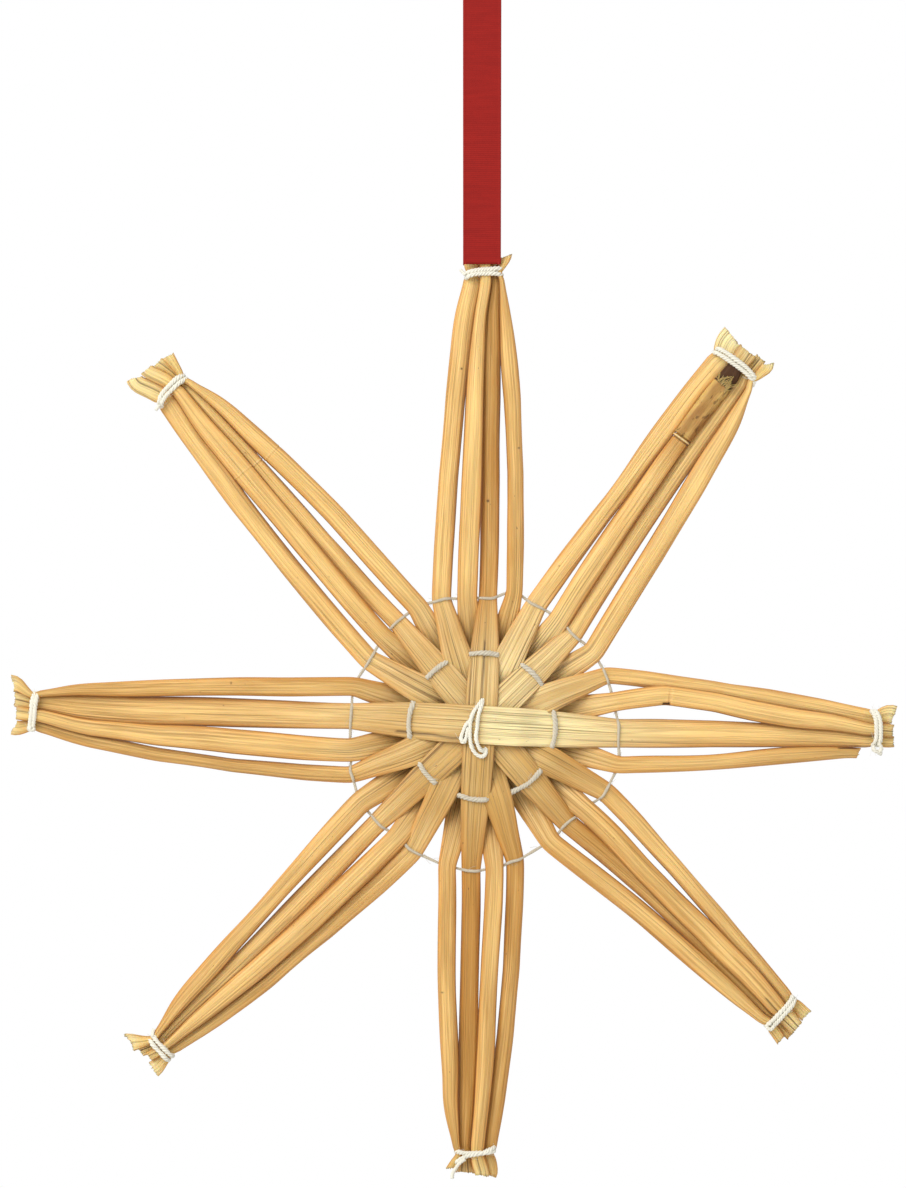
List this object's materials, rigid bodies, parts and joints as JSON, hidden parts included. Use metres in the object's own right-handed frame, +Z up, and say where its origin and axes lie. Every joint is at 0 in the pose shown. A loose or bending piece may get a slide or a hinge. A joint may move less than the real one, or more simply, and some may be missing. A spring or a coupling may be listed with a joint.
{
  "type": "straw star ornament",
  "caption": "Eight-armed hanging star of natural straws laid through one centre, woven and tied with cotton thread, on a doubled satin ribbon.",
  "frame": {"origin": "inside of the top of the hanging ribbon's loop, where whatever carries the ornament touches it", "axes": "+Z up along the hanging line, the face of the star towards -Y, +X to the right when facing the star"},
  "size_m": [0.1478, 0.0252, 0.2192],
  "materials": {
    "straw": "dry natural straw with fine long fibres and a faint natural sheen",
    "cotton_thread": "undyed twisted cotton thread, matt",
    "satin_ribbon": "red woven satin ribbon with selvedges"
  },
  "bodies": {
    "root": {"straw_top_1": "straw", "straw_top_2": "straw", "straw_top_3": "straw", "straw_top_4": "straw", "straw_upper_right_1": "straw", "straw_upper_right_2": "straw", "straw_upper_right_3": "straw", "straw_upper_right_4": "straw", "straw_right_1": "straw", "straw_right_2": "straw", "straw_right_3": "straw", "straw_right_4": "straw", "straw_lower_right_1": "straw", "straw_lower_right_2": "straw", "straw_lower_right_3": "straw", "straw_lower_right_4": "straw", "thread_outer": "cotton_thread", "thread_inner_front": "cotton_thread", "thread_inner_back": "cotton_thread", "thread_centre": "cotton_thread", "tie_top": "cotton_thread", "tie_upper_right": "cotton_thread", "tie_right": "cotton_thread", "tie_lower_right": "cotton_thread", "tie_bottom": "cotton_thread", "tie_lower_left": "cotton_thread", "tie_left": "cotton_thread", "tie_upper_left": "cotton_thread", "hanging_ribbon": "satin_ribbon"}
  },
  "joints": []
}
